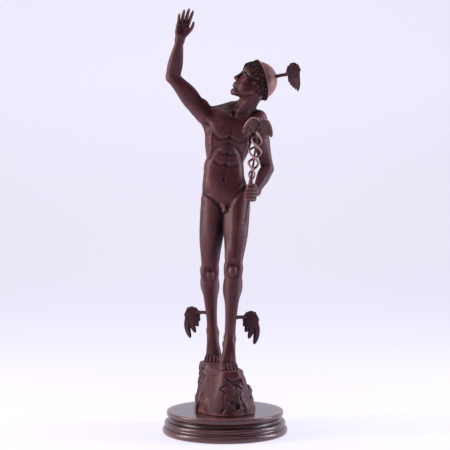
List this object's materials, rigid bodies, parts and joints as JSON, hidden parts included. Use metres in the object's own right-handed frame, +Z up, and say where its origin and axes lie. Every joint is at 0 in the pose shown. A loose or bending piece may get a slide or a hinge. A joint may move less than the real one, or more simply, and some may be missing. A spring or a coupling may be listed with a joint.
{
  "type": "mercury statue",
  "caption": "Cast resin statuette of Mercury in a winged cap, one arm raised and a snake staff in the other fist, striding over a rock on a round moulded base.",
  "frame": {"origin": "centre of the round base's underside, on the surface that the statue stands on", "axes": "+Z up, -Y towards the viewer that the figure's chest faces, +X to that viewer's right"},
  "size_m": [0.1309, 0.12, 0.4029],
  "materials": {
    "cast_resin": "satin, stained mahogany brown with dark antique wash in the hollows",
    "rubbed_resin": "satin, stained mahogany brown and rubbed paler on the edges"
  },
  "bodies": {
    "root": {"base": "cast_resin", "figure": "cast_resin", "caduceus": "rubbed_resin", "cap_wing_left": "rubbed_resin", "cap_wing_right": "rubbed_resin", "ankle_wing_left": "rubbed_resin", "ankle_wing_right": "rubbed_resin"}
  },
  "joints": []
}
